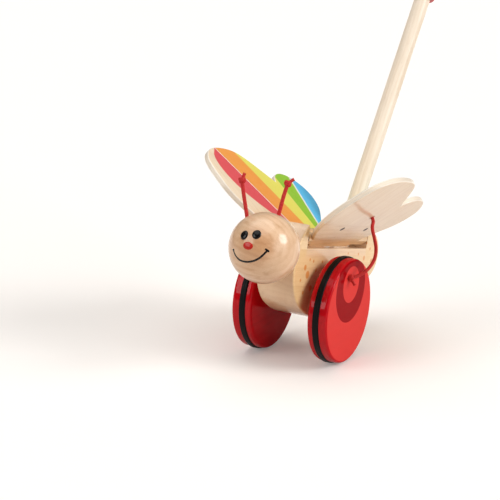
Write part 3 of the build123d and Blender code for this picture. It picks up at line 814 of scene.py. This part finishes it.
def braid_tree():
    """Strands that wind both ways round a line and pass over and under each other, round a plain core."""
    tree = bpy.data.node_groups.new("braided cord", "GeometryNodeTree")
    face = tree.interface
    face.new_socket("Line", in_out="INPUT", socket_type="NodeSocketGeometry")
    for label, kind, value in (
        ("Strand Pairs", "NodeSocketInt", 6),
        ("Braid Radius", "NodeSocketFloat", 0.9 * mm),
        ("Strand Radius", "NodeSocketFloat", 0.27 * mm),
        ("Weave", "NodeSocketFloat", 0.09 * mm),
        ("Lay", "NodeSocketFloat", 5.6 * mm),
        ("Step", "NodeSocketFloat", 0.3 * mm),
    ):
        face.new_socket(label, in_out="INPUT", socket_type=kind).default_value = value
    face.new_socket("Yarn", in_out="INPUT", socket_type="NodeSocketMaterial")
    face.new_socket("Cord", in_out="OUTPUT", socket_type="NodeSocketGeometry")

    def put(kind, links=(), **settings):
        node = tree.nodes.new(kind)
        for name, value in settings.items():
            setattr(node, name, value)
        for socket, value in links:
            if isinstance(value, bpy.types.NodeSocket):
                tree.links.new(value, node.inputs[socket])
            else:
                node.inputs[socket].default_value = value
        return node

    def math(operation, *values):
        return put("ShaderNodeMath", list(enumerate(values)), operation=operation).outputs[0]

    def along(way, amount):
        node = put("ShaderNodeVectorMath", [(0, way), ("Scale", amount)], operation="SCALE")
        return node.outputs["Vector"]

    def circle(points, radius):
        links = [("Resolution", points), ("Radius", radius)]
        return put("GeometryNodeCurvePrimitiveCircle", links).outputs[0]

    given = put("NodeGroupInput").outputs
    line = put("GeometryNodeMeshToCurve", [("Mesh", given["Line"])]).outputs[0]
    spaced = put(
        "GeometryNodeResampleCurve", [("Curve", line), ("Length", given["Step"])], mode="LENGTH"
    ).outputs[0]

    # Every strand is a copy of the line, and every second one winds the other way
    count = math("MULTIPLY", given["Strand Pairs"], 2.0)
    copies = put(
        "GeometryNodeDuplicateElements", [("Geometry", spaced), ("Amount", count)], domain="SPLINE"
    )
    number = copies.outputs["Duplicate Index"]
    turn = math("MULTIPLY_ADD", math("MODULO", number, 2.0), 2.0, -1.0)
    pair = math("FLOOR", math("DIVIDE", number, 2.0))
    length = put("GeometryNodeSplineParameter").outputs["Length"]
    wound = math("DIVIDE", math("MULTIPLY", length, 2 * pi), given["Lay"])
    first = math("DIVIDE", math("MULTIPLY", pair, 2 * pi), given["Strand Pairs"])
    angle = math("MULTIPLY_ADD", wound, turn, first)

    # A strand rises where one of the other way dips under it
    over = math("MULTIPLY", math("COSINE", math("MULTIPLY", wound, given["Strand Pairs"])), turn)
    radius = math("MULTIPLY_ADD", over, given["Weave"], given["Braid Radius"])
    tangent = put("GeometryNodeInputTangent").outputs[0]
    normal = put("GeometryNodeInputNormal").outputs[0]
    beside = put("ShaderNodeVectorMath", [(0, tangent), (1, normal)], operation="CROSS_PRODUCT").outputs[0]
    offset = put(
        "ShaderNodeVectorMath",
        [
            (0, along(normal, math("MULTIPLY", math("COSINE", angle), radius))),
            (1, along(beside, math("MULTIPLY", math("SINE", angle), radius))),
        ],
        operation="ADD",
    ).outputs[0]
    moved = put("GeometryNodeSetPosition", [("Geometry", copies.outputs[0]), ("Offset", offset)])

    strand = circle(6, given["Strand Radius"])
    core = circle(12, given["Braid Radius"])
    tubes = [
        put(
            "GeometryNodeCurveToMesh",
            [("Curve", centre), ("Profile Curve", section), ("Fill Caps", True)],
        ).outputs[0]
        for centre, section in ((moved.outputs[0], strand), (spaced, core))
    ]
    joined = put("GeometryNodeJoinGeometry")
    for tube in tubes:
        tree.links.new(tube, joined.inputs[0])
    smooth = put("GeometryNodeSetShadeSmooth", [("Geometry", joined.outputs[0])]).outputs[0]
    real = put("GeometryNodeRealizeInstances", [("Geometry", smooth)]).outputs[0]
    dyed = put("GeometryNodeSetMaterial", [("Geometry", real), ("Material", given["Yarn"])]).outputs[0]
    put("NodeGroupOutput", [("Cord", dyed)])
    return tree


braid = braid_tree()


def soft_line(route, steps=10, closed=False):
    """The points, in metres, of the smooth line that a route in millimetres shapes."""
    curve = bpy.data.curves.new("route", "CURVE")
    curve.dimensions = "3D"
    spline = curve.splines.new("NURBS")
    spline.points.add(len(route) - 1)
    for point, place in zip(spline.points, route):
        point.co = (*(Vector(place) * mm), 1.0)
    spline.order_u = 3
    spline.use_endpoint_u = not closed
    spline.use_cyclic_u = closed
    spline.resolution_u = steps
    holder = bpy.data.objects.new("route", curve)
    bpy.context.scene.collection.objects.link(holder)
    bpy.context.view_layer.update()
    mesh = bpy.data.meshes.new_from_object(holder.evaluated_get(bpy.context.evaluated_depsgraph_get()))
    points = [v.co.copy() for v in mesh.vertices]
    bpy.data.objects.remove(holder)
    bpy.data.curves.remove(curve)
    bpy.data.meshes.remove(mesh)
    return points


def braided(name, lines, radius, step=0.3):
    """A braided cord along one or more lines of points, which are in metres. A line with True is closed."""
    mesh = bpy.data.meshes.new(name)
    places, edges = [], []
    for points, closed in lines:
        start = len(places)
        places += points
        edges += [(start + i, start + i + 1) for i in range(len(points) - 1)]
        if closed:
            edges.append((len(places) - 1, start))
    mesh.from_pydata(places, edges, [])
    holder = bpy.data.objects.new(name + "_line", mesh)
    bpy.context.scene.collection.objects.link(holder)
    winding = holder.modifiers.new("braid", "NODES")
    winding.node_group = braid
    sockets = {s.name: s.identifier for s in braid.interface.items_tree if s.in_out == "INPUT"}
    sizes = {
        "Braid Radius": 0.78 * radius * mm,
        "Strand Radius": 0.24 * radius * mm,
        "Weave": 0.07 * radius * mm,
        "Lay": 4.4 * radius * mm,
        "Step": step * mm,
        "Yarn": cord_red,
    }
    for label, value in sizes.items():
        winding[sockets[label]] = value
    bpy.context.view_layer.update()
    wound = bpy.data.meshes.new_from_object(holder.evaluated_get(bpy.context.evaluated_depsgraph_get()))
    holder.modifiers.remove(winding)
    bpy.data.objects.remove(holder)
    bpy.data.meshes.remove(mesh)
    piece = bpy.data.objects.new(name, wound)
    bpy.context.scene.collection.objects.link(piece)
    return piece


def line_length(points):
    return sum((b - a).length for a, b in zip(points, points[1:]))


def knot_lines(middle, way, radius, tail):
    """An overhand knot pulled tight, as a closed line with three loops, and its tail's line."""
    turned = way.to_track_quat("Z", "Y")
    count, tightness = 15, 0.235
    loops = []
    for i in range(count):
        t = 2 * pi * i / count
        loop = Vector((sin(t) + 2 * sin(2 * t), cos(t) - 2 * cos(2 * t), -1.9 * sin(3 * t)))
        loops.append(middle + turned @ (loop * (radius * tightness)))
    return [(soft_line(loops, 8, True), True), (soft_line(tail, 8), False)]


# The flap cords. The crank is the hole in the wheel's face that carries a cord round
cord_radius = 1.25
crank_radius, crank_angle = 26.5, radians(96.0)
crank_depth, crank_mouth = 6.5, 2.0
wing_hole_out, wing_hole_back = 35.3, 14.3
wheel_knot_rise, wheel_knot_radius, wheel_knot_cord = 1.4, 2.8, 1.05
tail_turn, tail_lean = radians(250.0), radians(35.0)
crank_back, crank_up = crank_radius * cos(crank_angle), crank_radius * sin(crank_angle)
crank_place = Vector((wheel_face, crank_back, wheel_radius + crank_up))
knot_middle = crank_place + across_way * wheel_knot_rise
# From the hole in the wheel through the knot, out and back, then up into the wing
flap_route = [
    crank_place - across_way * crank_depth,
    crank_place - across_way * crank_mouth,
    knot_middle,
    (43.8, 1.2, 66.8),
    (48.4, 5.7, 70.5),
    (50.6, 12.5, 76.7),
    (49.8, 16.5, 84.3),
    (46.6, 18.8, 91.5),
    (42.2, 23.5, 97.3),
]
origin, out_way, normal = wing_lines["right"]
hole_mouth = origin + out_way * wing_hole_out + back_way * wing_hole_back
hole_mouth += normal * wing_underside
flap_route += [hole_mouth - normal * 2.5, hole_mouth + normal * 1.3]
tail_way = Vector((sin(tail_lean), cos(tail_lean) * cos(tail_turn), cos(tail_lean) * sin(tail_turn)))
tail_bend = knot_middle + tail_way * 4.2 + Vector((0.5, 0.3, 0))
knot_tail = [knot_middle, knot_middle + tail_way * 2.2, tail_bend, tail_bend + tail_way * 1.6]


def flap_cord(side, sign):
    """A cord in two pieces that meet in the air, one to the wing and one to the knot on the wheel."""
    flip = Vector((sign, 1, 1))
    line = soft_line([Vector(p) * flip for p in flap_route], 12)
    half = len(line) // 2
    lower, upper = line[: half + 1], line[half:]
    top_cord = braided(f"{side}_flap_cord_top", [(upper, False)], cord_radius)
    low_cord = braided(f"{side}_flap_cord_low", [(lower, False)], cord_radius)
    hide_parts(f"{side}_flap_cord")
    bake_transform(top_cord)
    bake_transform(low_cord)

    way = (Vector(flap_route[3]) - knot_middle).normalized()
    lines = knot_lines(knot_middle, way, wheel_knot_radius, knot_tail)
    lines = [([p * flip for p in points], closed) for points, closed in lines]
    knot = braided(f"{side}_wheel_knot_tied", lines, wheel_knot_cord, 0.25)
    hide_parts(f"{side}_wheel_knot")
    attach(knot, "wheelset")


flap_cord("right", 1)
flap_cord("left", -1)


# Antennae

antenna_radius, antenna_knot_cord = 1.35, 1.15
antenna_knot_radius, antenna_knot_seat = 2.8, 1.5
antenna_depth, antenna_exit = 5.0, 4.5
antenna_turn = radians(24.0)


def leaning(angle):
    """The way up from the body that leans sideways by this angle in degrees, in the antennae's plane."""
    lean = radians(angle)
    return way_in_body(sin(lean) * cos(antenna_turn), sin(lean) * sin(antenna_turn), cos(lean))


def antenna(side, root_lean, lean, tail_lean, far):
    """A limp cord from the head that ends in a knot with a tail.

    The leans are angles in degrees, of the place where it leaves the head, of its way there and of its
    tail. It goes on through the far points.
    """
    mouth = head_centre + leaning(root_lean) * head_radius
    route = [mouth - leaning(lean) * antenna_depth, mouth + leaning(lean) * antenna_exit]
    route += [head_centre + way_in_body(*p) for p in far]
    way = (route[-1] - route[-2]).normalized()
    cord = braided(f"{side}_antenna", [(soft_line(route, 10), False)], antenna_radius)
    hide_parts(f"{side}_antenna_cord")
    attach(cord, "toy")
    middle = route[-1] + way * antenna_knot_seat
    tail_way = leaning(tail_lean)
    tail = [middle, middle + tail_way * 2.0, middle + tail_way * 3.6 + way * 0.3, middle + tail_way * 5.2]
    lines = knot_lines(middle, way, antenna_knot_radius, tail)
    knot = braided(f"{side}_antenna_knot_tied", lines, antenna_knot_cord, 0.25)
    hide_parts(f"{side}_antenna_knot")
    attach(knot, "toy")


right_far = [(7.5, 3.1, 38.5), (8.7, 3.8, 45.2)]
left_far = [(-17.9, -8.0, 35.0), (-19.6, -9.3, 43.0)]
antenna("right", root_lean=15.0, lean=8.4, tail_lean=46.0, far=right_far)
antenna("left", root_lean=-37.0, lean=-16.0, tail_lean=14.0, far=left_far)


# Painted face: each place is across, back and up from the head's middle


def add_piece(name, places, faces, material, body):
    """A smooth closed piece from places in millimetres, which rides on a body."""
    mesh = bpy.data.meshes.new(name)
    mesh.from_pydata([Vector(p) * mm for p in places], [], faces)
    shell = bmesh.new()
    shell.from_mesh(mesh)
    bmesh.ops.recalc_face_normals(shell, faces=shell.faces)
    for face in shell.faces:
        face.smooth = True
    shell.to_mesh(mesh)
    shell.free()
    mesh.materials.append(material)
    piece = bpy.data.objects.new(name, mesh)
    bpy.context.scene.collection.objects.link(piece)
    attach(piece, body)
    return piece


def paint_dab(name, middle, half_across, half_up, thickness, material):
    """An oval dab of paint on the head, thickest in its middle, with its rim just under the wood."""
    out = way_in_body(*middle).normalized()
    across = (across_way - out * across_way.dot(out)).normalized()
    up = out.cross(across)
    rings, steps, rim_depth = 9, 40, 0.12
    places = [head_centre + out * (head_radius + thickness)]
    for i in range(1, rings + 1):
        share = i / rings
        lift = thickness * (1 - share**4) if i < rings else -rim_depth
        for j in range(steps):
            turn = 2 * pi * j / steps
            aside = across * (half_across * share * cos(turn)) + up * (half_up * share * sin(turn))
            places.append(head_centre + (out * head_radius + aside).normalized() * (head_radius + lift))
    faces = [(0, 1 + j, 1 + (j + 1) % steps) for j in range(steps)]
    for i in range(rings - 1):
        a, b = 1 + i * steps, 1 + (i + 1) * steps
        faces += [(a + j, b + j, b + (j + 1) % steps, a + (j + 1) % steps) for j in range(steps)]
    faces.append([1 + (rings - 1) * steps + j for j in range(steps)])
    return add_piece(name, places, faces, material, "toy")


# Half widths aside and thicknesses up, across a brush stroke
stroke_section = [(-1.0, -0.12), (-0.8, 0.55), (-0.35, 0.95), (0.35, 0.95), (0.8, 0.55), (1.0, -0.12)]


def brush_stroke(name, marks, width, thickness, material):
    """Thin strokes of a brush over the head, each with its own points and rounded ends."""
    places, faces = [], []
    count = len(stroke_section)
    for points in marks:
        line = [p / mm for p in soft_line([head_centre + way_in_body(*p) for p in points], 12)]
        start = len(places)
        total = line_length(line)
        gone = 0.0
        for i, place in enumerate(line):
            gone += (place - line[i - 1]).length if i else 0.0
            near_end = min(gone, total - gone) / (width / 2)
            share = max(0.08, (1 - (1 - min(near_end, 1.0)) ** 2) ** 0.5)
            ahead = line[min(i + 1, len(line) - 1)] - line[max(i - 1, 0)]
            out = (place - head_centre).normalized()
            beside = out.cross(ahead).normalized()
            for aside, lift in stroke_section:
                spot = out * head_radius + beside * (aside * share * width / 2)
                places.append(head_centre + spot.normalized() * (head_radius + lift * thickness * share))
        for i in range(len(line) - 1):
            a, b = start + i * count, start + (i + 1) * count
            faces += [(a + j, b + j, b + (j + 1) % count, a + (j + 1) % count) for j in range(count)]
        faces.append([start + j for j in range(count)])
        faces.append([start + (len(line) - 1) * count + j for j in range(count)])
    return add_piece(name, places, faces, material, "toy")


paint_dab("left_eye", (-5.5, -23.0, 8.1), 3.2, 3.6, 0.8, eye_paint)
paint_dab("right_eye", (3.6, -22.6, 10.0), 3.3, 3.6, 0.8, eye_paint)
paint_dab("nose", (-0.6, -24.9, 1.4), 4.1, 2.85, 0.3, nose_paint)
smile = [
    (-12.8, -21.1, -3.6),
    (-12.0, -21.4, -5.4),
    (-9.4, -21.8, -8.2),
    (-5.6, -22.5, -9.9),
    (0.2, -23.2, -9.9),
    (5.9, -23.3, -7.8),
    (10.2, -22.7, -4.1),
    (12.9, -21.4, 0.4),
]
smile_ends = [[(-13.9, -20.4, -3.4), (-12.8, -21.1, -3.5), (-12.0, -21.6, -2.9)]]
smile_ends.append([(11.2, -22.2, 1.2), (12.7, -21.6, 0.8), (14.1, -20.7, -0.5)])
brush_stroke("smile", [smile, *smile_ends], 1.5, 0.14, eye_paint)


# Floor and light


floor_reach = 4
floor_lift = 0.18
world_light = 0.08


def floor_finish():
    """A plain warm floor, paler and brighter where it is seen or mirrored."""
    ground = Finish("pale floor")
    ray = ground.put("ShaderNodeLightPath").outputs
    seen = ground.math("MAXIMUM", ray["Is Camera Ray"], ray["Is Glossy Ray"])
    seen = ground.math("MAXIMUM", seen, ray["Is Transmission Ray"])
    color = ground.mix(seen, (0.66, 0.57, 0.49, 1), (0.86, 0.82, 0.78, 1))
    ground.set(Base_Color=color, Roughness=0.8, Specular_IOR_Level=0.1)
    lift = ground.math("MULTIPLY", seen, floor_lift)
    ground.set(Emission_Strength=lift, Emission_Color=(1.0, 0.965, 0.93, 1))
    return ground.material


floor_mesh = bpy.data.meshes.new("floor")
corners = [(x * floor_reach, y * floor_reach, 0) for x, y in ((-1, -1), (1, -1), (1, 1), (-1, 1))]
floor_mesh.from_pydata(corners, [], [(0, 1, 2, 3)])
floor_mesh.materials.append(floor_finish())
floor = bpy.data.objects.new("floor", floor_mesh)
bpy.context.scene.collection.objects.link(floor)

world = bpy.data.worlds.new("studio")
bpy.context.scene.world = world
world.use_nodes = True
air = Recipe(world.node_tree)
background = world.node_tree.nodes["Background"]
air.feed(background.inputs["Color"], (1, 0.98, 0.96, 1))
in_sight = air.put("ShaderNodeLightPath").outputs["Is Camera Ray"]
brightness = air.math("MULTIPLY_ADD", in_sight, 1.0 - world_light, world_light)
air.feed(background.inputs["Strength"], brightness)


def soft_light(name, way, spread, level):
    """Even light from one side, with a spread in degrees.

    Its way is given in the camera's right, up and back directions. A surface that squarely faces a light
    of level 1 shows white as white.
    """
    right, up, back = camera_ways()
    place = (right * way[0] + up * way[1] + back * way[2]).normalized()
    data = bpy.data.lights.new(name, "SUN")
    data.angle = radians(spread)
    data.energy = level * pi
    lamp = bpy.data.objects.new(name, data)
    bpy.context.scene.collection.objects.link(lamp)
    lamp.location = place * 2
    lamp.rotation_euler = place.to_track_quat("Z", "Y").to_euler()


soft_light("window", (0.854, 0.411, 0.319), 28, 0.55)
soft_light("low right", (0.8, -0.02, 0.6), 50, 0.28)
soft_light("ceiling", (-0.1, 0.95, 0.25), 66, 0.5)
soft_light("left", (-0.75, 0.35, 0.56), 34, 0.34)
